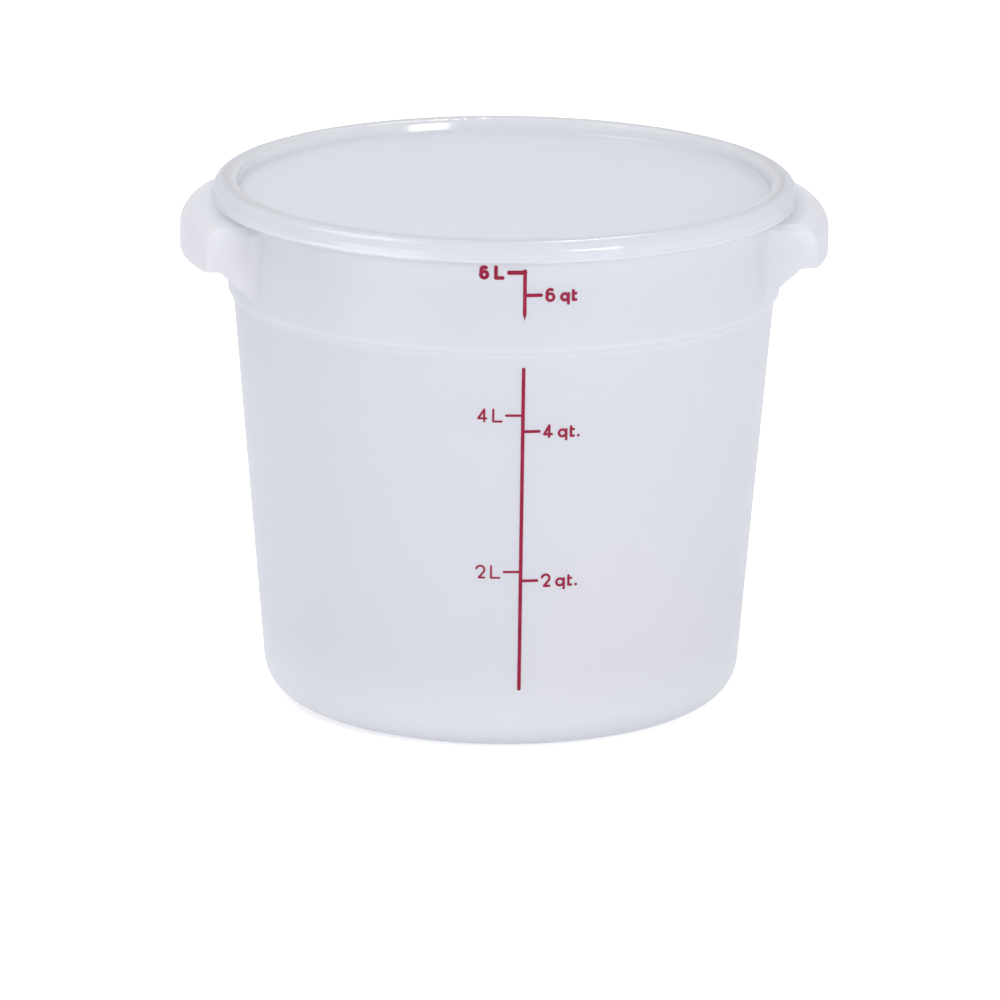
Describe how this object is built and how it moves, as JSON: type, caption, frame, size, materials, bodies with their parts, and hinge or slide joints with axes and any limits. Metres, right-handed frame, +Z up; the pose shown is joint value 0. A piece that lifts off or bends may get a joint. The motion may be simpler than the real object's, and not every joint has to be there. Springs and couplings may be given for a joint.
{
  "type": "food storage container",
  "caption": "Round translucent tub with ear handles, a wide collar, a printed volume scale and a press-on lid, for proofing dough and keeping food.",
  "frame": {"origin": "on the table under the middle of the base", "axes": "+Z up, +X and -X towards the ear handles, -Y towards the side with the printed scale"},
  "size_m": [0.2558, 0.231, 0.2085],
  "materials": {
    "container_plastic": "frosted translucent polypropylene with a satin skin",
    "lid_plastic": "frosted translucent polypropylene with a satin skin",
    "ink": "crimson screen print"
  },
  "bodies": {
    "container": {"container_body": "container_plastic", "collar_scale": "ink", "wall_scale": "ink", "litre_labels": "ink", "quart_labels": "ink"},
    "lid": {"lid": "lid_plastic"}
  },
  "joints": [
    {"name": "lid_lift", "type": "slide", "parent": "container", "child": "lid", "axis": [0, 0, 1], "range_m": [0, 0.16]}
  ]
}
